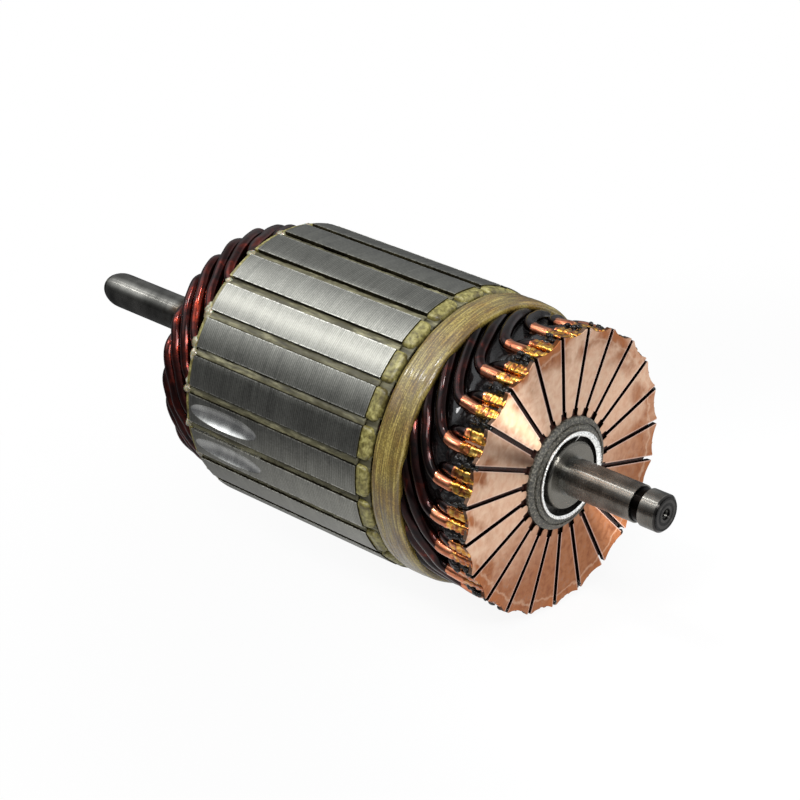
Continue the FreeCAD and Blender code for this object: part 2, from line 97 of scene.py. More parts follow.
class Paint:
    """One procedural material. Its nodes work on the object's own positions, in millimetres."""

    def __init__(self, name, metallic=0.0, roughness=0.5, **settings):
        self.material = bpy.data.materials.new(name)
        self.material.use_nodes = True
        self.nodes = self.material.node_tree.nodes
        self.links = self.material.node_tree.links
        self.shader = self.nodes["Principled BSDF"]
        self.set("Metallic", metallic)
        self.set("Roughness", roughness)
        for socket, value in settings.items():
            self.set(socket.replace("_", " "), value)
        metres = self.nodes.new("ShaderNodeTexCoord").outputs["Object"]
        self.place = self.vector("SCALE", metres, scale=1 / MM)
        axes = self.add("ShaderNodeSeparateXYZ", Vector=self.place).outputs
        self.x, self.y, self.z = axes[0], axes[1], axes[2]

    def add(self, kind, **inputs):
        node = self.nodes.new(kind)
        for name, value in inputs.items():
            self.put(node.inputs[name.replace("_", " ")], value)
        return node

    def put(self, socket, value):
        if isinstance(value, bpy.types.NodeSocket):
            self.links.new(value, socket)
        else:
            socket.default_value = value

    def set(self, socket, value):
        self.put(self.shader.inputs[socket], value)

    def math(self, operation, a, b=0.0, c=0.0):
        node = self.nodes.new("ShaderNodeMath")
        node.operation = operation
        for socket, value in zip(node.inputs, (a, b, c)):
            self.put(socket, value)
        return node.outputs[0]

    def times(self, a, b):
        return self.math("MULTIPLY", a, b)

    def plus(self, a, b):
        return self.math("ADD", a, b)

    def minus(self, a, b):
        return self.math("SUBTRACT", a, b)

    def away(self, a, b):
        """Distance between two values."""
        return self.math("ABSOLUTE", self.minus(a, b))

    def vector(self, operation, a, b=(0, 0, 0), scale=1.0):
        node = self.nodes.new("ShaderNodeVectorMath")
        node.operation = operation
        self.put(node.inputs[0], a)
        self.put(node.inputs[1], b)
        self.put(node.inputs[3], scale)
        return node.outputs[0]

    def noise(self, size, stretch=(1, 1, 1), detail=3.0, shift=0.0, warp=0.0):
        """Noise with features of a size in millimetres, stretched along the axes."""
        scale = tuple(1 / (size * s) for s in stretch)
        place = self.vector("MULTIPLY", self.place, scale)
        place = self.vector("ADD", place, (shift, shift, shift))
        node = self.add("ShaderNodeTexNoise", Vector=place, Scale=1.0, Detail=detail, Distortion=warp)
        return node.outputs["Fac"]

    def step(self, value, low, high, start=0.0, end=1.0):
        """Smooth step of a value from low to high."""
        node = self.add("ShaderNodeMapRange", Value=value)
        node.interpolation_type = "SMOOTHSTEP"
        for name, number in (("From Min", low), ("From Max", high), ("To Min", start), ("To Max", end)):
            node.inputs[name].default_value = number
        return node.outputs["Result"]

    def ramp(self, value, *stops):
        node = self.add("ShaderNodeValToRGB", Fac=value)
        elements = node.color_ramp.elements
        while len(elements) < len(stops):
            elements.new(0.5)
        for element, (position, colour) in zip(elements, stops):
            element.position = position
            element.color = colour
        return node.outputs["Color"]

    def mix(self, factor, a, b):
        node = self.nodes.new("ShaderNodeMix")
        node.data_type = "RGBA"
        self.put(node.inputs[0], factor)
        self.put(node.inputs[6], a)
        self.put(node.inputs[7], b)
        return node.outputs[2]

    def radius(self):
        squares = self.plus(self.times(self.y, self.y), self.times(self.z, self.z))
        return self.math("SQRT", squares)

    def floor_distance(self):
        """Distance in millimetres along the floor from the middle of its white part."""
        u = self.minus(self.x, WHITE_MIDDLE[0])
        v = self.minus(self.y, WHITE_MIDDLE[1])
        return self.math("SQRT", self.plus(self.times(u, u), self.times(v, v)))

    def pitches(self):
        """Angle about the shaft from the bottom slot, in pitches."""
        angle = self.math("ARCTAN2", self.z, self.y)
        turned = self.minus(angle, math.radians(SLOT_PHASE))
        return self.math("DIVIDE", turned, math.radians(PITCH))

    def slit_distance(self):
        """Distance in millimetres from the middle of the nearest slot or slit."""
        turn = self.pitches()
        away = self.math("ABSOLUTE", self.minus(turn, self.math("ROUND", turn)))
        return self.times(self.times(away, math.radians(PITCH)), self.radius())

    def turned(self, strength):
        """Stretches highlights across the fine grooves of a surface turned about the shaft."""
        along = self.add("ShaderNodeCombineXYZ", X=1.0, Y=self.y, Z=self.z)
        self.set("Anisotropic", strength)
        self.set("Tangent", self.vector("NORMALIZE", along.outputs[0]))

    def bump(self, height, depth):
        """Relief of a height from 0 to 1, with a depth in millimetres."""
        node = self.add("ShaderNodeBump", Height=height, Strength=1.0, Distance=depth * MM)
        if self.shader.inputs["Normal"].is_linked:
            self.put(node.inputs["Normal"], self.shader.inputs["Normal"].links[0].from_socket)
        self.set("Normal", node.outputs["Normal"])


# Shaft: radii of the journal and of the dark in its groove, the stretch that holds that groove and
# the centre hole, the edge of the drive pin's dome, the stretch over which the varnish stain and
# painted shade of the winding fade, and how fast the turned rings of the end face repeat
JOURNAL_RADIUS = 4.0
DARK_RADIUS = 3.6
GROOVE_START = TIP_X - 6.3
HOLE_MOUTH = TIP_X - 1.0
DOME_EDGE = SHAFT_LOW + 2.2
STAIN_SHADE_FROM = DRIVE_BEND - 29.0
STAIN_SHADE_FULL = DRIVE_BEND - 24.5
END_RINGS = 5.2


def paint_shaft():
    """Ground and polished steel, with a varnish stain and painted shade near the winding, and dark in the
    groove.
    """
    paint = Paint("shaft_steel", metallic=1.0)
    radius = paint.radius()
    fine = paint.noise(0.35, stretch=(0.3, 3, 3), detail=4)
    broad = paint.noise(5.0, stretch=(0.8, 1, 1), detail=4)
    steel = paint.ramp(broad, (0.3, srgb(88, 87, 83)), (0.7, srgb(144, 142, 136)))
    # Varnish stain and painted shade: brown near the drive winding, where the winding shades the shaft
    ragged = paint.plus(paint.x, paint.times(paint.noise(3.0), 9.0))
    stain_and_shade = paint.step(ragged, STAIN_SHADE_FROM, STAIN_SHADE_FULL)
    front = paint.step(paint.x, 0.0, 1.0)
    stain_and_shade = paint.times(stain_and_shade, paint.minus(1.0, front))
    colour = paint.mix(stain_and_shade, steel, srgb(66, 52, 38))
    groove = paint.step(radius, DARK_RADIUS, JOURNAL_RADIUS - 0.05, 1.0, 0.0)
    groove = paint.times(groove, paint.step(paint.x, GROOVE_START - 0.1, GROOVE_START))
    groove = paint.times(groove, paint.step(paint.x, HOLE_MOUTH, HOLE_MOUTH + 0.5, 1.0, 0.0))
    colour = paint.mix(groove, colour, srgb(14, 12, 11))
    end = paint.step(paint.x, TIP_X - 0.5, TIP_X - 0.4)
    rings = paint.step(paint.math("SINE", paint.times(radius, END_RINGS)), -0.6, 0.9)
    turned = paint.plus(paint.times(rings, 0.5), paint.times(fine, 0.5))
    turned = paint.ramp(turned, (0.25, srgb(20, 19, 18)), (0.7, srgb(60, 58, 56)))
    colour = paint.mix(end, colour, turned)
    shoulder = paint.times(front, paint.step(radius, JOURNAL_RADIUS + 0.1, JOURNAL_RADIUS + 0.4))
    colour = paint.mix(shoulder, colour, srgb(112, 109, 102))
    dome = paint.step(paint.x, DOME_EDGE, DOME_EDGE + 0.7, 0.9, 0.0)
    paint.set("Base Color", paint.mix(dome, colour, srgb(58, 58, 52)))
    polish = paint.step(fine, 0.25, 0.75, 0.25, 0.3)
    paint.set("Roughness", paint.plus(polish, paint.times(dome, 0.1)))
    paint.turned(1.0)
    paint.bump(fine, 0.002)
    return paint.material


def paint_bush():
    """Turned steel, dull and painted dark as shade in the recess, and bright on the rim."""
    paint = Paint("bush_steel", metallic=1.0)
    fine = paint.noise(0.3, stretch=(1, 2, 2))
    rim = paint.step(paint.x, BUSH_RIM_X - 0.25, BUSH_RIM_X - 0.05)
    # Painted shade: the steel below the rim is made dark for the shade of the recess
    dull_and_shaded = paint.ramp(fine, (0.3, srgb(44, 42, 40)), (0.7, srgb(84, 82, 78)))
    paint.set("Base Color", paint.mix(rim, dull_and_shaded, srgb(226, 226, 222)))
    paint.set("Roughness", paint.step(fine, 0.2, 0.8, 0.25, 0.5))
    paint.turned(0.9)
    paint.bump(fine, 0.02)
    return paint.material


# Core: thickness of a sheet, edge of a slot's mouth from its middle, and the balancing cuts:
# their middle and half length along the shaft, and the slot between their two teeth
SHEET = 0.5
SLOT_EDGE = 1.0
CUT_MIDDLE = 10.3 - CORE_END
CUT_HALF_LENGTH = 10.2
CUT_SLOT = -5.0


def paint_core():
    """Stacked laminations, ground outside and dark with varnish in the slots."""
    paint = Paint("core_steel", metallic=1.0)
    radius = paint.radius()
    sheet = paint.times(paint.x, 2 * math.pi / SHEET)
    sheets = paint.step(paint.math("SINE", sheet), -1.0, 1.0)
    lines = paint.noise(0.42, stretch=(1, 40, 40), detail=2)
    smear = paint.noise(3.4, stretch=(0.7, 1.6, 1.6), detail=4)
    speck = paint.noise(0.35, detail=3, shift=2.0)
    tone = paint.plus(paint.times(lines, 0.3), paint.times(smear, 0.25))
    tone = paint.plus(tone, paint.times(speck, 0.45))
    ground = paint.ramp(tone, (0.35, srgb(128, 127, 121)), (0.5, srgb(152, 151, 143)),
                        (0.65, srgb(174, 173, 164)))
    ground = paint.mix(paint.times(sheets, 0.36), ground, srgb(66, 66, 64))
    # Bright line along the slot edges: a burr, and a painted edge highlight
    burr_and_highlight = paint.step(paint.slit_distance(), SLOT_EDGE, SLOT_EDGE + 0.25, 1.0, 0.0)
    burr_and_highlight = paint.times(burr_and_highlight, paint.step(paint.noise(0.5, detail=2, shift=8.0), 0.42, 0.56))
    ground = paint.mix(burr_and_highlight, ground, srgb(214, 212, 202))
    bright = paint.ramp(smear, (0.3, srgb(188, 188, 185)), (0.7, srgb(236, 235, 230)))
    inside = paint.math("LESS_THAN", paint.away(paint.x, CUT_MIDDLE), CUT_HALF_LENGTH)
    beside = paint.math("LESS_THAN", paint.away(paint.pitches(), CUT_SLOT), 1.0)
    below = paint.step(radius, CORE_RADIUS - 0.08, CORE_RADIUS - 0.02, 1.0, 0.0)
    milled = paint.times(paint.times(inside, beside), below)
    varnish = paint.ramp(smear, (0.35, srgb(34, 30, 22)), (0.65, srgb(74, 68, 50)))
    outside = paint.step(radius, CORE_RADIUS - 0.12, CORE_RADIUS - 0.05)
    colour = paint.mix(outside, varnish, ground)
    paint.set("Base Color", paint.mix(milled, colour, bright))
    rough = paint.step(tone, 0.35, 0.65, 0.3, 0.4)
    paint.set("Roughness", paint.minus(rough, paint.times(milled, 0.08)))
    paint.turned(0.7)
    paint.bump(sheets, 0.004)
    paint.bump(lines, 0.003)
    return paint.material


# Face: middles of the painted dark reflection band and of the painted highlight streak in pitches
# from the bottom slot, half the width of a slit, the radius of the pale tide mark near the rim, and
# the radii within and beyond which the copper behind the face is painted dark as shade
PAINTED_DARK_REFLECTION_PITCHES = 15.4
PAINTED_HIGHLIGHT_PITCHES = 14.45
SLIT_HALF_WIDTH = 0.5
TIDE_RADIUS = CORE_RADIUS - 3.2
SHADE_WITHIN = 14.3
SHADE_BEYOND = CORE_RADIUS - 2.2


def paint_copper():
    """Turned copper of the bars: beige to brown, patina towards the rim, with a painted highlight streak
    and dark reflection band, and painted shade in the slits.
    """
    paint = Paint("bar_copper", metallic=1.0)
    radius = paint.radius()
    slit = paint.slit_distance()
    cloud = paint.noise(6.0, detail=3, warp=0.4)
    small = paint.noise(1.6, detail=5, warp=0.4, shift=3.0)
    bar = paint.math("FLOOR", paint.plus(paint.pitches(), SLOT_COUNT))
    bar_tone = paint.nodes.new("ShaderNodeTexWhiteNoise")
    bar_tone.noise_dimensions = "1D"
    paint.put(bar_tone.inputs["W"], bar)
    # Browner and darker towards the bottom of the face
    low = paint.step(paint.minus(paint.times(paint.y, 0.4), paint.z), -12.0, 24.0)
    rim = paint.step(radius, 20.0, 29.5)
    brown_share = paint.times(paint.step(cloud, 0.38, 0.74), paint.plus(0.15, rim))
    brown_share = paint.plus(brown_share, low)
    brown_share = paint.plus(brown_share, paint.times(bar_tone.outputs["Value"], 0.16))
    clean = paint.ramp(small, (0.35, srgb(222, 177, 147)), (0.65, srgb(238, 204, 176)))
    worn = paint.ramp(small, (0.3, srgb(146, 88, 58)), (0.55, srgb(176, 116, 78)),
                      (0.75, srgb(172, 124, 98)))
    colour = paint.mix(paint.step(brown_share, 0.1, 1.1), clean, worn)
    wave = paint.times(paint.minus(paint.noise(2.6, detail=3, shift=9.0), 0.5), 3.4)
    wavy = paint.plus(radius, wave)
    pale_tide = paint.step(paint.away(wavy, TIDE_RADIUS), 0.0, 0.5, 0.4, 0.0)
    colour = paint.mix(pale_tide, colour, srgb(238, 206, 178))
    burnt = paint.step(wavy, TIDE_RADIUS - 1.0, TIDE_RADIUS + 2.0, 0.0, 0.6)
    colour = paint.mix(paint.times(burnt, paint.step(cloud, 0.3, 0.7)), colour, srgb(190, 112, 60))
    turn = paint.pitches()
    # Painted dark reflection: a brown band across the bars beside the streak
    band = paint.step(paint.away(turn, PAINTED_DARK_REFLECTION_PITCHES), 0.1, 0.55, 0.7, 0.0)
    band = paint.times(band, paint.step(radius, 13.0, 27.0, 1.0, 0.35))
    colour = paint.mix(band, colour, srgb(126, 90, 76))
    # Painted highlight: a bright radial streak of the turned face
    streak = paint.step(paint.away(turn, PAINTED_HIGHLIGHT_PITCHES), 0.0, 0.4, 0.4, 0.0)
    streak = paint.times(streak, paint.step(radius, 12.0, 24.0, 0.5, 1.0))
    colour = paint.mix(streak, colour, srgb(255, 222, 172))
    # Painted highlight: pale lines along the edges of the slits
    edge = paint.step(slit, SLIT_HALF_WIDTH + 0.12, SLIT_HALF_WIDTH + 0.3, 0.4, 0.0)
    colour = paint.mix(edge, colour, srgb(248, 222, 212))
    # Painted shade: the copper behind the face is made dark in the slits, near the hub and on the lip at
    # the rim
    behind = paint.step(paint.x, FACE_X - 0.2, FACE_X - 0.1, 1.0, 0.0)
    wall = paint.step(slit, SLIT_HALF_WIDTH + 0.02, SLIT_HALF_WIDTH + 0.06, 1.0, 0.0)
    wall = paint.math("MAXIMUM", wall, paint.step(radius, SHADE_WITHIN, SHADE_WITHIN + 0.2, 1.0, 0.0))
    lip = paint.step(radius, SHADE_BEYOND, SHADE_BEYOND + 0.2, 0.0, 0.8)
    painted_shade = paint.times(behind, paint.math("MAXIMUM", wall, lip))
    paint.set("Base Color", paint.mix(painted_shade, colour, srgb(30, 12, 8)))
    paint.set("Roughness", paint.step(small, 0.3, 0.7, 0.38, 0.46))
    paint.turned(0.95)
    paint.bump(paint.noise(0.25, detail=2), 0.004)
    return paint.material


def paint_wire(name, bare_from):
    """Varnished enamel on copper wire, stripped bare from an x and fused to gold at the end."""
    paint = Paint(name, Coat_Weight=0.3, Coat_Roughness=0.04, Coat_IOR=1.55)
    ragged = paint.plus(paint.x, paint.times(paint.noise(0.9, detail=3), 1.6))
    bare = paint.step(ragged, bare_from + 0.75, bare_from + 0.95)
    fused = paint.step(ragged, FUSED_FROM + 0.6, FUSED_FROM + 1.2)
    blotch = paint.noise(3.5, detail=4, warp=0.8)
    # Painted shade: the enamel on the commutator half, in the recess between ring and bars, is darker than
    # at the drive end
    front = paint.step(paint.x, 0.0, 1.0)
    brown = paint.ramp(blotch, (0.3, srgb(26, 8, 8)), (0.55, srgb(74, 21, 14)), (0.75, srgb(142, 48, 28)))
    black = paint.ramp(blotch, (0.35, srgb(13, 4, 4)), (0.6, srgb(44, 13, 10)), (0.8, srgb(110, 38, 25)))
    enamel = paint.mix(front, brown, black)
    streak = paint.noise(0.5, stretch=(7, 1, 1), detail=3)
    patch = paint.noise(1.6, detail=3, shift=4.0)
    copper = paint.ramp(streak, (0.3, srgb(150, 72, 44)), (0.55, srgb(222, 138, 98)),
                        (0.75, srgb(246, 186, 150)))
    gold = paint.ramp(streak, (0.25, srgb(150, 82, 24)), (0.5, srgb(238, 172, 66)),
                      (0.75, srgb(255, 226, 136)))
    orange = paint.ramp(streak, (0.3, srgb(92, 40, 20)), (0.55, srgb(178, 98, 50)),
                        (0.8, srgb(232, 160, 100)))
    low = paint.step(paint.z, -22.0, 8.0, 0.75, 0.0)
    browner = paint.plus(paint.step(patch, 0.42, 0.62), low)
    metal = paint.mix(fused, copper, paint.mix(paint.step(browner, 0.2, 1.0), gold, orange))
    soot = paint.step(paint.noise(1.3, detail=3, shift=5.0), 0.64, 0.74)
    metal = paint.mix(soot, metal, srgb(54, 26, 18))
    paint.set("Base Color", paint.mix(bare, enamel, metal))
    paint.set("Metallic", paint.step(bare, 0.0, 1.0, 0.96, 1.0))
    paint.set("Roughness", paint.step(paint.noise(1.2, detail=3), 0.3, 0.7, 0.12, 0.28))
    paint.bump(streak, 0.015)
    return paint.material


def paint_varnish():
    """Dark impregnating resin that has run between the wires: black, glossy and lumpy."""
    paint = Paint("varnish_resin", Coat_Weight=0.6, Coat_Roughness=0.03, Specular_IOR_Level=0.1)
    grain = paint.noise(0.55, detail=3)
    lumps = paint.noise(0.7, detail=2, shift=6.0)
    far = paint.step(paint.x, FACE_X - 4.5, FACE_X - 1.0)
    black = paint.ramp(grain, (0.4, srgb(5, 4, 5)), (0.75, srgb(22, 14, 13)))
    grey = paint.ramp(lumps, (0.4, srgb(10, 10, 9)), (0.6, srgb(26, 27, 23)), (0.75, srgb(78, 80, 68)))
    colour = paint.mix(paint.times(far, 0.7), black, grey)
    plate = paint.step(paint.x, RING_START, RING_START + 1.0, 1.0, 0.0)
    paint.set("Base Color", paint.mix(plate, colour, srgb(36, 22, 10)))
    paint.set("Roughness", 0.45)
    paint.bump(grain, 0.5)
    paint.bump(lumps, 0.6)
    return paint.material


def paint_moulding():
    """Moulded phenolic body: dark grey-green with a fine grain, and painted brown-black as shade in the
    slits.
    """
    paint = Paint("moulding_resin")
    grain = paint.noise(0.45, detail=5)
    hub = paint.ramp(grain, (0.3, srgb(28, 28, 24)), (0.5, srgb(64, 62, 55)), (0.7, srgb(126, 122, 110)))
    # Painted shade: the moulding below the face, in the slits, is made brown-black
    slit = paint.ramp(grain, (0.3, srgb(20, 9, 6)), (0.7, srgb(62, 26, 17)))
    below_face = paint.step(paint.x, FACE_X - 0.3, FACE_X + 0.1)
    paint.set("Base Color", paint.mix(below_face, slit, hub))
    paint.set("Roughness", paint.step(grain, 0.3, 0.7, 0.34, 0.6))
    paint.bump(grain, 0.1)
    return paint.material


def paint_band():
    """Resin and glass tape: olive and yellow-brown, streaked along the winding direction."""
    paint = Paint("band_resin", Coat_Weight=0.9, Coat_Roughness=0.12)
    strand = paint.noise(0.3, stretch=(1, 28, 28), detail=3)
    speck = paint.noise(0.35, detail=4, shift=1.0)
    grain = paint.plus(paint.times(strand, 0.6), paint.times(speck, 0.4))
    patch = paint.noise(4.5, stretch=(0.8, 1.3, 1.3), detail=4, shift=2.0)
    olive = paint.ramp(grain, (0.36, srgb(80, 63, 23)), (0.5, srgb(119, 101, 43)),
                       (0.62, srgb(172, 153, 82)))
    amber = paint.ramp(grain, (0.36, srgb(72, 52, 14)), (0.5, srgb(110, 85, 29)),
                       (0.62, srgb(158, 130, 60)))
    colour = paint.mix(paint.step(patch, 0.42, 0.62), olive, amber)
    pit = paint.step(paint.noise(0.5, detail=3, shift=7.0), 0.6, 0.68, 0.0, 0.6)
    paint.set("Base Color", paint.mix(pit, colour, srgb(66, 46, 18)))
    paint.set("Roughness", paint.step(patch, 0.3, 0.7, 0.42, 0.6))
    paint.bump(strand, 0.06)
    paint.bump(speck, 0.015)
    return paint.material


# Radius below which the pads are dark
PADS_FOOT = CORE_RADIUS - 2.2


def paint_pads():
    """Moulded end plate: pale yellow-green pads mottled by varnish, and dark further in."""
    paint = Paint("end_fibre", Coat_Weight=0.15, Coat_Roughness=0.25)
    mottle = paint.noise(0.9, detail=5, warp=0.5)
    cloud = paint.noise(3.0, detail=3, shift=4.0)
    pale = paint.ramp(mottle, (0.3, srgb(80, 72, 32)), (0.5, srgb(131, 123, 67)),
                      (0.7, srgb(174, 166, 106)))
    brown = paint.ramp(mottle, (0.3, srgb(58, 48, 20)), (0.7, srgb(116, 106, 58)))
    colour = paint.mix(paint.step(cloud, 0.45, 0.7), pale, brown)
    deep = paint.step(paint.radius(), PADS_FOOT, PADS_FOOT + 1.2, 1.0, 0.0)
    paint.set("Base Color", paint.mix(deep, colour, srgb(34, 24, 14)))
    paint.set("Roughness", 0.42)
    paint.bump(mottle, 0.08)
    return paint.material


def paint_liners():
    """Varnished slot paper and the resin over it: grey-olive, streaked along the slot."""
    paint = Paint("liner_paper")
    fibre = paint.noise(0.8, stretch=(6, 1, 1), detail=4)
    drift = paint.noise(5.0, stretch=(2, 1, 1), detail=3)
    tone = paint.ramp(fibre, (0.3, srgb(48, 45, 30)), (0.5, srgb(96, 92, 68)), (0.72, srgb(158, 153, 120)))
    paint.set("Base Color", paint.mix(paint.step(drift, 0.4, 0.7), tone, srgb(72, 68, 48)))
    paint.set("Roughness", 0.55)
    paint.bump(fibre, 0.05)
    return paint.material


def paint_blobs():
    """Cream resin that has bled out of the slots."""
    paint = Paint("slot_resin", Coat_Weight=1.0, Coat_Roughness=0.06, Subsurface_Weight=0.25)
    paint.set("Subsurface Scale", 1.0 * MM)
    cloud = paint.noise(1.2, detail=3)
    paint.set("Base Color", paint.ramp(cloud, (0.3, srgb(104, 94, 66)), (0.5, srgb(152, 144, 114)),
                                       (0.7, srgb(206, 200, 176))))
    paint.set("Roughness", 0.25)
    paint.bump(cloud, 0.08)
    return paint.material


def paint_burr():
    """Bright torn steel."""
    paint = Paint("burr_steel", metallic=0.7)
    grain = paint.noise(0.4, detail=4)
    paint.set("Base Color", paint.ramp(grain, (0.3, srgb(196, 196, 192)), (0.6, srgb(255, 255, 252))))
    paint.set("Roughness", paint.step(grain, 0.3, 0.7, 0.25, 0.45))
    paint.bump(grain, 0.05)
    return paint.material


SHAFT_STEEL = paint_shaft()
BUSH_STEEL = paint_bush()
CORE_STEEL = paint_core()
BAR_COPPER = paint_copper()
OUTER_WIRE = paint_wire("outer_lead_wire", BARE_FROM)
INNER_WIRE = paint_wire("inner_lead_wire", FUSED_FROM - 0.3)
VARNISH = paint_varnish()
MOULDING = paint_moulding()
BAND = paint_band()
PADS = paint_pads()
LINERS = paint_liners()
BLOBS = paint_blobs()
BURR = paint_burr()


def place(x, radius, degrees):
    """Point in millimetres at an x, a radius from the shaft's axis and an angle about it."""
    a = math.radians(degrees)
    return Vector((x, radius * math.cos(a), radius * math.sin(a)))


def mesh_piece(name, points, faces, materials, face_materials=None, smooth=True):
    """Object from points in millimetres, riding on the rotor."""
    mesh = bpy.data.meshes.new(name)
    mesh.from_pydata([tuple(float(c) * MM for c in p) for p in points], [], faces)
    for material in materials:
        mesh.materials.append(material)
    if face_materials is not None:
        mesh.polygons.foreach_set("material_index", face_materials)
    if smooth:
        mesh.shade_smooth()
    mesh.update()
    piece = bpy.data.objects.new(name, mesh)
    bpy.context.scene.collection.objects.link(piece)
    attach(piece, "root")
    return piece


def grid_faces(rows, columns, wrap_rows=False):
    """Quads of a grid of points, row by row, with its columns closed into a ring."""
    faces = []
    for i in range(rows if wrap_rows else rows - 1):
        for j in range(columns):
            i2 = (i + 1) % rows
            j2 = (j + 1) % columns
            faces.append((i * columns + j, i * columns + j2, i2 * columns + j2, i2 * columns + j))
    return faces


def smooth_step(value, low, high):
    t = np.clip((np.asarray(value, float) - low) / (high - low), 0, 1)
    return t * t * (3 - 2 * t)


def wobble(x, y, z):
    """Smooth noise of about -1 to 1 at a place."""
    return noise.noise(Vector((x, y, z)))


# Winding wires: seed of their draws, how far the drive-end noses drop below the layers, and half
# the angle over which they turn
WIRE_SEED = 23
OUTER_NOSE_DROP = 2.0
INNER_NOSE_DROP = 2.8
NOSE_HALF_TURN = 1.8

# Their centre lines: steps and reach of the smoothing, and size and length of the strays
SAMPLE = 0.25
SMOOTHING = 2.9
STRAY = 0.28
STRAY_LENGTH = 5

# Their sections: sides, and the samples from one to the next in the core, at the fused end and
# elsewhere
SECTION_SIDES = 22
CORE_SPACING = 24
FUSED_SPACING = 1
OPEN_SPACING = 3

# Their fused ends: ripples, lumps, and the height of the flat top in wire radii
RIPPLE_LENGTH = 1.5
RIPPLE_HEIGHT = 0.2
LUMP_HEIGHT = 0.2
FLAT_TOP = 0.72


def wire_corners(rng):
    """Corners (x, radius, angle) of one hairpin with its outer leg at angle 0."""
    outer_bar = OUTER_LEAD_PITCHES * PITCH + PAIR_HALF_ANGLE
    inner_slot = -COIL_SPAN_SLOTS * PITCH
    inner_bar = inner_slot - INNER_LEAD_PITCHES * PITCH - PAIR_HALF_ANGLE
    nose_x = NOSE_CENTRE + rng.uniform(0.0, 0.7)
    nose_turn = inner_slot / 2 + rng.uniform(-1.0, 1.0)
    bend = LEAD_BEND + rng.uniform(-0.4, 0.4)
    lift = rng.uniform(-0.1, 0.25)
    return [
        (WIRE_END, SEAT_LAYER, outer_bar),
        (SEAT_START, SEAT_LAYER, outer_bar),
        (bend, OUTER_LAYER + lift, outer_bar + rng.uniform(-0.5, 0.5)),
        (LEAD_EXIT, OUTER_LAYER, 0),
        (DRIVE_BEND, OUTER_LAYER + 0.1, 0),
        (nose_x, OUTER_LAYER - OUTER_NOSE_DROP + rng.uniform(-0.2, 0.4), nose_turn + NOSE_HALF_TURN),
        (nose_x, INNER_LAYER - INNER_NOSE_DROP, nose_turn - NOSE_HALF_TURN),
        (DRIVE_BEND, INNER_LAYER, inner_slot),
        (LEAD_EXIT, INNER_LAYER, inner_slot),
        (LEAD_BEND, INNER_LAYER - 0.2, inner_bar),
        (LEAD_BEND + INNER_RISE, SEAT_LAYER, inner_bar),
        (WIRE_END, SEAT_LAYER, inner_bar),
    ]


def wire_route(rng):
    """Smooth centre line through the corners, with the small strays of a wound wire."""
    corners = wire_corners(rng)
    samples = []
    for start, end in zip(corners, corners[1:]):
        a, b = Vector(start), Vector(end)
        arc = math.radians(b.z - a.z) * (a.y + b.y) / 2
        length = math.sqrt((b.x - a.x) ** 2 + (b.y - a.y) ** 2 + arc ** 2)
        count = max(2, round(length / SAMPLE))
        samples += [a.lerp(b, i / count) for i in range(count)]
    samples.append(Vector(corners[-1]))
    route = np.array([place(*s) for s in samples])
    half = int(4 * SMOOTHING / SAMPLE)
    offsets = np.arange(-half, half + 1) * SAMPLE
    kernel = np.exp(-offsets ** 2 / (2 * SMOOTHING ** 2))
    kernel /= kernel.sum()
    lead_in = route[0] + (route[0] - route[1]) * np.arange(half, 0, -1)[:, None]
    lead_out = route[-1] + (route[-1] - route[-2]) * np.arange(1, half + 1)[:, None]
    padded = np.vstack([lead_in, route, lead_out])
    route = np.stack([np.convolve(padded[:, i], kernel, "valid") for i in range(3)], axis=1)
    free = smooth_step(abs(route[:, 0]), CORE_END + 2, CORE_END + 6)
    free *= smooth_step(route[:, 0], FUSED_FROM, FUSED_FROM - 4)
    seed = rng.uniform(0, 100)
    along = [i * SAMPLE / STRAY_LENGTH for i in range(len(route))]
    stray = [[wobble(t, seed, 7.0 * axis) for axis in range(3)] for t in along]
    route += STRAY * free[:, None] * np.array(stray)
    keep = [0]
    for i in range(1, len(route) - 1):
        x = route[i, 0]
        if abs(x) < CORE_END - 2:
            spacing = CORE_SPACING
        elif x > FUSED_FROM - 0.6:
            spacing = FUSED_SPACING
        else:
            spacing = OPEN_SPACING
        if i - keep[-1] >= spacing:
            keep.append(i)
    keep.append(len(route) - 1)
    return route[keep]


def fuse_section(rings, centres, rng):
    """Flattens and ripples the wire where its end is fused to the bar."""
    angle = np.arctan2(centres[:, 2], centres[:, 1])
    up = np.stack([np.zeros_like(angle), np.cos(angle), np.sin(angle)], axis=1)
    side = np.stack([np.zeros_like(angle), -np.sin(angle), np.cos(angle)], axis=1)
    offset = rings - centres[:, None, :]
    high = np.einsum("nmk,nk->nm", offset, up)
    wide = np.einsum("nmk,nk->nm", offset, side)
    along = offset[:, :, 0]
    x = centres[:, 0]
    fused = smooth_step(x, FUSED_FROM - 0.3, FUSED_FROM + 0.5)[:, None]
    phase = rng.uniform(0, 1)
    drift = np.array([wobble(v, phase * 9, 3.0) for v in x])
    beat = (x / RIPPLE_LENGTH + phase + 0.25 * drift) % 1.0
    wave = np.sin(2 * math.pi * beat)[:, None]
    ripple = wave * RIPPLE_HEIGHT / 2 * np.clip(high / WIRE_RADIUS, 0, 1)
    sides = range(rings.shape[1])
    lumps = np.array([[LUMP_HEIGHT * wobble(v * 0.9, j * 0.45, phase * 20) for j in sides] for v in x])
    top = np.clip(high, None, FLAT_TOP * WIRE_RADIUS)
    high = high + fused * (top - high + ripple + lumps * (high > 0))
    wide = wide * (1 + fused * (0.04 * wave - 0.06))
    flat = high[:, :, None] * up[:, None, :] + wide[:, :, None] * side[:, None, :]
    flat[:, :, 0] += along
    return centres[:, None, :] + flat


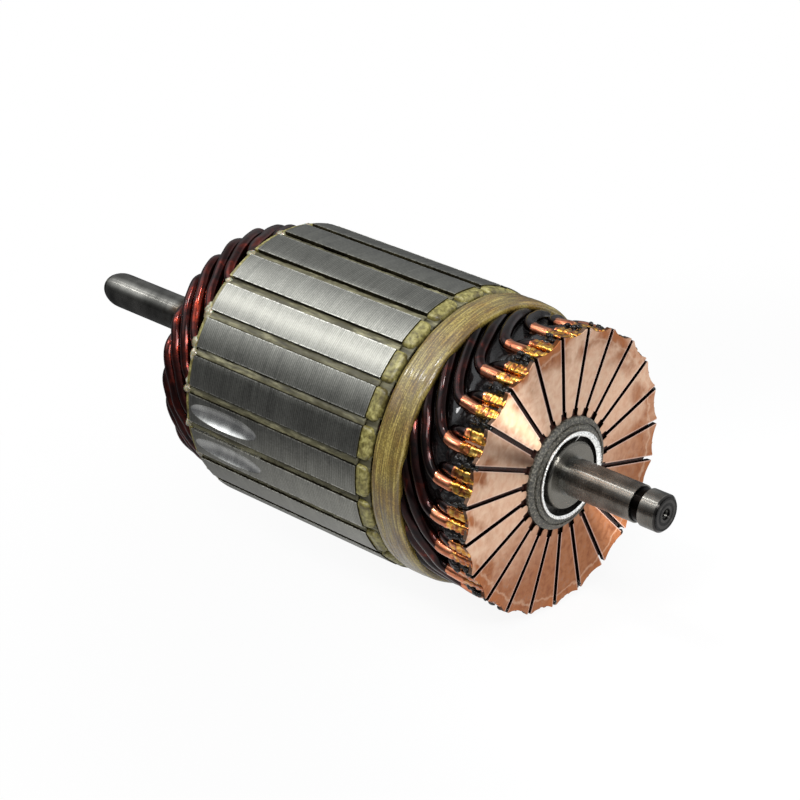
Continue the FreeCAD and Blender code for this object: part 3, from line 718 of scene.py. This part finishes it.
def hairpin(index, rng):
    """One coil: a round wire from its outer lead's end to its inner lead's end."""
    x, y, z = wire_route(rng).T
    turn = math.radians(SLOT_PHASE + index * PITCH)
    c, s = math.cos(turn), math.sin(turn)
    centres = np.stack([x, c * y - s * z, s * y + c * z], axis=1)
    tangents = np.gradient(centres, axis=0)
    tangents /= np.linalg.norm(tangents, axis=1)[:, None]
    across = np.cross(tangents[0], (0, -s, c))
    rings = []
    for centre, tangent in zip(centres, tangents):
        across = across - tangent * np.dot(across, tangent)
        across /= np.linalg.norm(across)
        other = np.cross(tangent, across)
        a = np.linspace(0, 2 * math.pi, SECTION_SIDES, endpoint=False)[:, None]
        rings.append(centre + WIRE_RADIUS * (np.cos(a) * across + np.sin(a) * other))
    rings = fuse_section(np.array(rings), centres, rng)
    faces = grid_faces(len(rings), SECTION_SIDES)
    last = (len(rings) - 1) * SECTION_SIDES
    faces.append(tuple(reversed(range(SECTION_SIDES))))
    faces.append(tuple(range(last, last + SECTION_SIDES)))
    nose = int(np.argmin(centres[:, 0]))
    slots = [0 if i < nose else 1 for i in range(len(rings) - 1) for _ in range(SECTION_SIDES)] + [0, 1]
    points = rings.reshape(-1, 3)
    piece = mesh_piece("wire_%02d" % (index + 1), points, faces, [OUTER_WIRE, INNER_WIRE], slots)
    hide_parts("coil_%02d" % (index + 1))


wire_rng = random.Random(WIRE_SEED)
for k in range(SLOT_COUNT):
    hairpin(k, wire_rng)

# Resin between the wires, from the end plate to the bars: its mesh, its ends, the radii of its
# floor and of its level, its drop behind the face, and the radius at which its noise is read
RESIN_ROWS = 84
RESIN_COLUMNS = SLOT_COUNT * 26
RESIN_START = PADS_END - 0.1
RESIN_END = FACE_X - 0.85
RESIN_FLOOR = OUTER_LAYER - 2.2
RESIN_LEVEL = OUTER_LAYER - 0.5
RESIN_DROP = 0.8
RESIN_NOISE_RADIUS = 14


def resin_radius(x, degrees):
    """Height of the resin: low between the leads, heaped between the pairs near the face."""
    turn = (degrees - SLOT_PHASE) / PITCH
    gap = math.cos(2 * math.pi * turn)
    a = math.radians(degrees)
    u, v = math.cos(a) * RESIN_NOISE_RADIUS, math.sin(a) * RESIN_NOISE_RADIUS
    level = RESIN_LEVEL + 0.35 * wobble(x * 0.3, u * 0.5, v * 0.5)
    near = float(smooth_step(x, LEAD_BEND + 1.0, SEAT_START + 1.5))
    heap = 0.9 + 1.0 * max(gap, 0) ** 1.5 + 0.55 * wobble(x * 0.9, u * 1.9, v * 1.9)
    heap += 0.35 * wobble(x * 2.1, u * 4.1, v * 4.1) * max(gap, 0)
    level += near * (heap - 0.35 * (gap < 0))
    end = float(smooth_step(x, FACE_X - 1.4, FACE_X - 0.9))
    return level - RESIN_DROP * end


def resin():
    points = []
    for i in range(RESIN_ROWS):
        x = RESIN_START + (RESIN_END - RESIN_START) * i / (RESIN_ROWS - 1)
        for j in range(RESIN_COLUMNS):
            degrees = 360 * j / RESIN_COLUMNS
            points.append(place(x, resin_radius(x, degrees), degrees))
    for x in (RESIN_END, RESIN_START):
        points += [place(x, RESIN_FLOOR, 360 * j / RESIN_COLUMNS) for j in range(RESIN_COLUMNS)]
    faces = grid_faces(RESIN_ROWS + 2, RESIN_COLUMNS, wrap_rows=True)
    piece = mesh_piece("lead_resin", points, faces, [VARNISH])


resin()

# Banding ring: its mesh, its inner radius, the width and drop of its rounded edges, and how far
# its lumps may stand proud
BAND_COLUMNS = 540
BAND_STEPS = 44
BAND_INNER = OUTER_LAYER + 0.6
BAND_EDGE = 1.85
BAND_DROP = 0.75
BAND_PROUD = 0.12


def band_profile():
    """Outline (x, radius) of the band, from its inner front edge over the crown to the back."""
    outline = [(RING_END, BAND_INNER)]
    for i in range(BAND_STEPS + 1):
        x = RING_END - (RING_END - RING_START) * i / BAND_STEPS
        edge = min(x - RING_START, RING_END - x) / BAND_EDGE
        fall = 1 - math.sqrt(max(0.0, 1 - (1 - min(edge, 1.0)) ** 2))
        outline.append((x, RING_CROWN - BAND_DROP * fall))
    outline.append((RING_START, BAND_INNER))
    return outline


def banding_ring():
    outline = band_profile()
    points = []
    for x, radius in outline:
        for j in range(BAND_COLUMNS):
            a = 2 * math.pi * j / BAND_COLUMNS
            u, v = math.cos(a), math.sin(a)
            middle = (x - (RING_START + RING_END) / 2) / (RING_END - RING_START) * 2
            stray = 0.22 * wobble(u * 5, v * 5, 1.0 if middle > 0 else 8.0) * abs(middle) ** 3
            strand = 0.1 * wobble(x * 1.6, u * 3.0, v * 3.0) + 0.05 * wobble(x * 4.0, u * 5.0, v * 5.0)
            lump = 0.1 * wobble(x * 0.5, u * 6.0, v * 6.0)
            grow = strand + lump if radius > BAND_INNER else 0.0
            height = min(radius + grow, RING_CROWN + BAND_PROUD)
            points.append(place(x + stray, height, math.degrees(a)))
    faces = grid_faces(len(outline), BAND_COLUMNS, wrap_rows=True)
    piece = mesh_piece("band", points, faces, [BAND])
    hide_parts("banding_ring")


banding_ring()

# End plate at the commutator end, with a rounded pad for each tooth and a disc behind the wires:
# gap to the core, half widths of a slot and of its mouth, radii of a pad's top and shoulder, its
# roundings, and the plate's inner radius, the radius where its teeth begin and the disc's mesh
PAD_GAP = 0.03
SLOT_HALF_WIDTH = 1.7
MOUTH_HALF_WIDTH = 0.6
PAD_TOP = CORE_RADIUS - 0.3
PAD_SHOULDER = CORE_RADIUS - 1.35
PAD_CORNER = 0.85
PAD_FRONT_ROUND = 1.3
PLATE_INNER = 7.25
PLATE_TOP = CORE_RADIUS - 7.6
DISC_COLUMNS = 120


def pad_outline(inset):
    """Outline (radial, tangential) of one tooth of the plate along +Y, drawn in by an inset."""
    half = math.radians(PITCH / 2)
    mouth = MOUTH_HALF_WIDTH + inset
    side = [(PLATE_TOP, SLOT_HALF_WIDTH), (PAD_SHOULDER - inset, SLOT_HALF_WIDTH + inset),
            (PAD_SHOULDER - inset * 0.6, mouth)]
    for turn in (0, 22.5, 45, 67.5, 90):
        a = math.radians(turn)
        fall, slope = PAD_CORNER * (1 - math.sin(a)), PAD_CORNER * (1 - math.cos(a))
        side.append((PAD_TOP - inset - fall, mouth + slope))
    c, s = math.cos(half), math.sin(half)
    right = [(radial * c + width * s, radial * s - width * c) for radial, width in side]
    edge = math.atan2(right[-1][1], right[-1][0])
    crown = PAD_TOP - inset
    top = [(crown * math.cos(edge * t), crown * math.sin(edge * t)) for t in (0.8, 0.4, 0, -0.4, -0.8)]
    left = [(u, -v) for u, v in reversed(right)]
    return right + top + left


def end_plate():
    back = CORE_END + PAD_GAP
    sections = [(back, 0.0), (back + 0.1, 0.0), (PADS_END - PAD_FRONT_ROUND, 0.0)]
    for turn in (18, 36, 54, 72, 90):
        a = math.radians(turn)
        inset = PAD_FRONT_ROUND * (1 - math.cos(a))
        sections.append((PADS_END - PAD_FRONT_ROUND * (1 - math.sin(a)), inset))
    points, faces = [], []
    for k in range(SLOT_COUNT):
        turn = math.radians(SLOT_PHASE + (k + 0.5) * PITCH)
        c, s = math.cos(turn), math.sin(turn)
        base = len(points)
        for x, inset in sections:
            outline = pad_outline(inset)
            for u, v in outline:
                swell = 0.1 * wobble(x * 0.6, u * 0.5 + k * 7, v * 0.5)
                points.append(Vector((x, c * (u + swell) - s * v, s * (u + swell) + c * v)))
        count = len(outline)
        last = base + (len(sections) - 1) * count
        faces += [tuple(base + v for v in reversed(face)) for face in grid_faces(len(sections), count)]
        faces.append(tuple(range(base, base + count)))
        faces.append(tuple(reversed(range(last, last + count))))
    piece = mesh_piece("end_plate", points, faces, [PADS])
    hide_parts("commutator_end_insulator")
    hub = []
    for x, radius in ((back, PLATE_INNER), (PADS_END, PLATE_INNER),
                      (PADS_END, PLATE_TOP + 0.2), (back, PLATE_TOP + 0.2)):
        hub += [place(x, radius, 360 / DISC_COLUMNS * j) for j in range(DISC_COLUMNS)]
    faces = grid_faces(4, DISC_COLUMNS, wrap_rows=True)
    disc = mesh_piece("end_plate_disc", hub, faces, [PADS], smooth=False)


end_plate()


# Seeds of the drops in the slots and of the lumps at the rim, and lumps at each slit
DROP_SEED = 7
RIM_SEED = 11
RIM_LUMPS = 5


def lump(points, faces, centre, size, turn, rng, rings=7, sides=12):
    """Adds a rounded lump with an uneven skin: size is (along x, radial, tangential)."""
    a = math.radians(turn)
    up = Vector((0, math.cos(a), math.sin(a)))
    side = Vector((0, -math.sin(a), math.cos(a)))
    seed = rng.uniform(0, 100)
    base = len(points)

    def skin(latitude, longitude):
        level = math.cos(latitude)
        u, v, w = level * math.cos(longitude), math.sin(latitude), level * math.sin(longitude)
        grow = 1 + 0.35 * wobble(u * 1.6 + seed, v * 1.6, w * 1.6)
        offset = Vector((1, 0, 0)) * u * size[0] + up * v * size[1] + side * w * size[2]
        return centre + offset * grow

    points.append(skin(-math.pi / 2, 0))
    for i in range(1, rings):
        for j in range(sides):
            points.append(skin(-math.pi / 2 + math.pi * i / rings, 2 * math.pi * j / sides))
    points.append(skin(math.pi / 2, 0))
    top = len(points) - 1
    first = base + 1
    last = top - sides
    for j in range(sides):
        j2 = (j + 1) % sides
        faces.append((base, first + j2, first + j))
        faces.append((top, last + j, last + j2))
        for i in range(rings - 2):
            row = first + i * sides
            faces.append((row + j, row + j2, row + sides + j2, row + sides + j))


def slot_blobs():
    """Beads of cream resin where the wires leave the slots at the drive end."""
    rng = random.Random(DROP_SEED)
    points, faces = [], []
    for k in range(SLOT_COUNT):
        for _ in range(rng.choice((1, 2, 2))):
            degrees = SLOT_PHASE + k * PITCH + rng.uniform(-3.6, 3.6)
            size = [rng.uniform(0.8, 1.3), rng.uniform(0.45, 0.75), rng.uniform(0.7, 1.6)]
            x = DRIVE_EXIT - rng.uniform(-0.7, 0.6)
            centre = place(x, CORE_RADIUS - rng.uniform(0.65, 1.2), degrees)
            lump(points, faces, centre, size, degrees, rng)
    piece = mesh_piece("slot_resin", points, faces, [BLOBS])


slot_blobs()


# Resin strips in the slot mouths: their mesh, their sides from the middle of the slot, and the
# radii of their top and base
STRIP_STEP = 0.4
STRIP_COLUMNS = 9
STRIP_SIDES = (-0.66, 0.86)
STRIP_TOP = CORE_RADIUS - 0.42
STRIP_BASE = CORE_RADIUS - 1.3


def slot_strips():
    """Uneven olive resin over the liners, shrunk away from one side of each slot mouth."""
    rows = round(2 * CORE_END / STRIP_STEP) + 1
    points, faces = [], []
    for k in range(SLOT_COUNT):
        base = len(points)
        middle = SLOT_PHASE + k * PITCH
        seed = k * 3.1
        for i in range(rows):
            x = -CORE_END + 0.05 + (2 * CORE_END - 0.1) * i / (rows - 1)
            low = STRIP_SIDES[0] + 0.22 * wobble(x * 0.25, seed, 0.5)
            points.append(place(x, STRIP_BASE, middle + math.degrees(low / CORE_RADIUS)))
            for j in range(STRIP_COLUMNS):
                t = j / (STRIP_COLUMNS - 1)
                offset = low + (STRIP_SIDES[1] - low) * t
                rise = 0.16 * wobble(x * 0.9, seed + t, 4.0) + 0.1 * wobble(x * 2.6, seed + t * 2, 9.0)
                radius = STRIP_TOP + rise - 0.3 * (1 - t) ** 3
                points.append(place(x, radius, middle + math.degrees(offset / CORE_RADIUS)))
            points.append(place(x, STRIP_BASE, middle + math.degrees(STRIP_SIDES[1] / CORE_RADIUS)))
        count = STRIP_COLUMNS + 2
        faces += [tuple(base + v for v in face) for face in grid_faces(rows, count)]
        faces.append(tuple(base + v for v in reversed(range(count))))
        faces.append(tuple(base + (rows - 1) * count + v for v in range(count)))
    piece = mesh_piece("slot_strips", points, faces, [LINERS])


slot_strips()


def rim_lumps():
    """Charred resin heaped at the rim, at the outer ends of the slits."""
    rng = random.Random(RIM_SEED)
    points, faces = [], []
    for k in range(SLOT_COUNT):
        for _ in range(RIM_LUMPS):
            degrees = SLOT_PHASE + k * PITCH + rng.uniform(-1.6, 1.6)
            x = FACE_X - rng.uniform(0.5, 5.2)
            size = [rng.uniform(0.4, 1.0), rng.uniform(0.35, 0.65), rng.uniform(0.4, 0.75)]
            centre = place(x, CORE_RADIUS - rng.uniform(0.9, 1.5), degrees)
            lump(points, faces, centre, size, degrees, rng, rings=6, sides=10)
    piece = mesh_piece("rim_resin", points, faces, [VARNISH])


rim_lumps()


# Burr round the bush: its section (rise, inset), its columns, the side where it is widest, and the
# mesh of its hair
BURR_SECTION = ((0.0, 0.0), (0.3, 0.02), (0.34, 0.5), (0.05, 0.95))
BURR_COLUMNS = 360
BURR_SIDE = 35
HAIR_RINGS = 17
HAIR_SIDES = 8


def bush_burr():
    """Torn bright edge round the bush, with one hair of metal left across the recess."""
    points = []
    for i, (rise, inset) in enumerate(BURR_SECTION):
        for j in range(BURR_COLUMNS):
            a = 2 * math.pi * j / BURR_COLUMNS
            u, v = math.cos(a), math.sin(a)
            tooth = (j * 0.29) % 1.0
            ragged = 0.16 * tooth + 0.12 * wobble(u * 9, v * 9, i * 0.4)
            wide = 0.4 + 0.6 * max(0.0, math.cos(a - math.radians(BURR_SIDE)))
            wide += 0.15 * wobble(u * 3, v * 3, 2.0)
            x = BUSH_RIM_X - 0.02 + rise * wide + ragged * (i in (1, 2))
            radius = BUSH_RADIUS - inset * (0.3 + 0.9 * wide) + 0.16 * tooth * (i == 1)
            points.append(place(x, radius, math.degrees(a)))
    piece = mesh_piece("bush_burr", points, grid_faces(len(BURR_SECTION), BURR_COLUMNS), [BURR])
    hair = []
    for i in range(HAIR_RINGS):
        t = i / (HAIR_RINGS - 1)
        x = BUSH_RIM_X + 0.35 - 1.2 * t ** 2
        centre = place(x, BUSH_RADIUS - 0.4 - 2.3 * t, 80 + 7 * t - 6 * t ** 3)
        thick = 0.17 * (1 - 0.75 * t)
        for j in range(HAIR_SIDES):
            a = 2 * math.pi * j / HAIR_SIDES
            hair.append(centre + Vector((math.cos(a), math.sin(a), 0.3 * math.sin(a))) * thick)
    faces = grid_faces(HAIR_RINGS, HAIR_SIDES)
    faces.append(tuple(reversed(range(HAIR_SIDES))))
    faces.append(tuple(range(len(hair) - HAIR_SIDES, len(hair))))
    strand = mesh_piece("bush_hair", hair, faces, [BURR])


bush_burr()


def dress(node, material):
    """Gives a CAD node its material, with its shape as it is."""
    node.data.materials.clear()
    node.data.materials.append(material)


FINISHES = {
    "shaft": SHAFT_STEEL, "core_laminations": CORE_STEEL, "commutator_bush": BUSH_STEEL,
    "commutator_moulding": MOULDING, "banding_ring": BAND, "commutator_end_insulator": PADS,
    "drive_end_insulator": PADS, "slot_liners": LINERS,
}
for node_name, node in nodes.items():
    if node_name.startswith("coil_"):
        dress(node, OUTER_WIRE)
    elif node_name.startswith("commutator_bar_"):
        dress(node, BAR_COPPER)
    else:
        dress(node, FINISHES[node_name])

# Camera at the photograph's place
CAMERA_PLACE = (0.32474, -0.36354, 0.21519)
CAMERA_TURN_DEG = (66.0228, -2.6445, 42.2411)
CAMERA_LENS = 112.39
camera_data = bpy.data.cameras.new("camera")
camera_data.lens = CAMERA_LENS
camera_data.sensor_width = 36
camera_data.clip_start = 0.01
camera = bpy.data.objects.new("camera", camera_data)
camera.location = CAMERA_PLACE
camera.rotation_euler = [math.radians(a) for a in CAMERA_TURN_DEG]
bpy.context.scene.collection.objects.link(camera)
bpy.context.scene.camera = camera


# Size of the floor in metres, middle of its white part, and the distances from it over which that
# gives way to grey for all but the camera
FLOOR_SIZE = 8
WHITE_MIDDLE = (125, 55)
FLOOR_NEAR = 60
FLOOR_FAR = 230

# Shares of plain white in the floor: to the camera near the middle, where the rest takes the
# shadow, and in reflections
WHITE_SEEN = 0.9
WHITE_MIRRORED = 0.62


def studio_floor():
    """Floor that is white to the camera, with the part's shadow, and pale to grey elsewhere."""
    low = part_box("core_laminations")[0].z
    bpy.ops.mesh.primitive_plane_add(size=FLOOR_SIZE, location=(0, 0, low))
    floor = bpy.context.active_object
    floor.name = "floor"
    paint = Paint("floor_white", roughness=0.9)
    away = paint.step(paint.floor_distance(), FLOOR_NEAR, FLOOR_FAR)
    paint.set("Base Color", paint.mix(away, srgb(240, 240, 240), srgb(70, 70, 72)))
    rays = paint.nodes.new("ShaderNodeLightPath").outputs
    mirrored = paint.math("MAXIMUM", rays["Is Glossy Ray"], rays["Is Transmission Ray"])
    mirrored = paint.times(mirrored, paint.times(paint.minus(1.0, away), WHITE_MIRRORED))
    white = paint.plus(WHITE_SEEN, paint.times(away, 1 - WHITE_SEEN))
    seen = paint.math("MAXIMUM", paint.times(rays["Is Camera Ray"], white), mirrored)
    glow = paint.add("ShaderNodeEmission", Color=(1, 1, 1, 1), Strength=1.0)
    blend = paint.nodes.new("ShaderNodeMixShader")
    paint.put(blend.inputs[0], seen)
    paint.links.new(paint.shader.outputs[0], blend.inputs[1])
    paint.links.new(glow.outputs[0], blend.inputs[2])
    output = paint.nodes["Material Output"]
    paint.links.new(blend.outputs[0], output.inputs["Surface"])
    dress(floor, paint.material)


studio_floor()


def softbox(name, position, size, power):
    """Square area light aimed at the middle of the part."""
    data = bpy.data.lights.new(name, "AREA")
    data.energy = power
    data.size = size
    lamp = bpy.data.objects.new(name, data)
    lamp.location = position
    lamp.rotation_euler = (-Vector(position)).to_track_quat("-Z", "Y").to_euler()
    bpy.context.scene.collection.objects.link(lamp)


# Places and sizes in metres, powers in watts
softbox("key", (-0.6, -0.46, 0.68), 0.09, 0.6)
softbox("front", (0.35, -0.6, 0.75), 0.4, 3.6)
softbox("fill", (0.6, -0.4, 0.72), 0.16, 3)
softbox("face", (1.0, 0.03, 0.22), 0.14, 2.3)
softbox("strip", (-0.15, -0.36, 0.92), 0.1, 1.8)


# Glows of the studio: their colour, and for each its direction, the cosines to it at which it
# starts and is full, and its strength
GLOW_COLOUR = (0.94, 0.97, 1.0, 1)
GLOWS = (
    ((0, 0, 1), -0.25, 0.65, 0.5),
    ((-0.6, -0.34, 0.72), 0.8, 0.99, 1.5),
    ((0.6, 0.75, 0.28), 0.6, 0.95, 0.7),
)


def studio_world():
    """Studio that is white to the camera, and otherwise dark but for its glows."""
    world = bpy.data.worlds.new("world")
    bpy.context.scene.world = world
    world.use_nodes = True
    tree = world.node_tree
    sight = tree.nodes.new("ShaderNodeTexCoord").outputs["Generated"]

    def glow(direction, low, high, strength):
        """Brightness that rises from nothing to a strength towards a direction."""
        dot = tree.nodes.new("ShaderNodeVectorMath")
        dot.operation = "DOT_PRODUCT"
        tree.links.new(sight, dot.inputs[0])
        dot.inputs[1].default_value = Vector(direction).normalized()
        rise = tree.nodes.new("ShaderNodeMapRange")
        rise.interpolation_type = "SMOOTHSTEP"
        tree.links.new(dot.outputs["Value"], rise.inputs["Value"])
        for name, number in (("From Min", low), ("From Max", high), ("To Max", strength)):
            rise.inputs[name].default_value = number
        return rise.outputs["Result"]

    level = None
    for lobe in GLOWS:
        part = glow(*lobe)
        if level is not None:
            total = tree.nodes.new("ShaderNodeMath")
            tree.links.new(level, total.inputs[0])
            tree.links.new(part, total.inputs[1])
            part = total.outputs[0]
        level = part
    background = tree.nodes["Background"]
    background.inputs["Color"].default_value = GLOW_COLOUR
    tree.links.new(level, background.inputs["Strength"])
    white = tree.nodes.new("ShaderNodeBackground")
    white.inputs["Color"].default_value = (1, 1, 1, 1)
    blend = tree.nodes.new("ShaderNodeMixShader")
    tree.links.new(tree.nodes.new("ShaderNodeLightPath").outputs["Is Camera Ray"], blend.inputs[0])
    tree.links.new(background.outputs[0], blend.inputs[1])
    tree.links.new(white.outputs[0], blend.inputs[2])
    tree.links.new(blend.outputs[0], tree.nodes["World Output"].inputs["Surface"])


studio_world()

bpy.context.scene.view_settings.view_transform = "Standard"
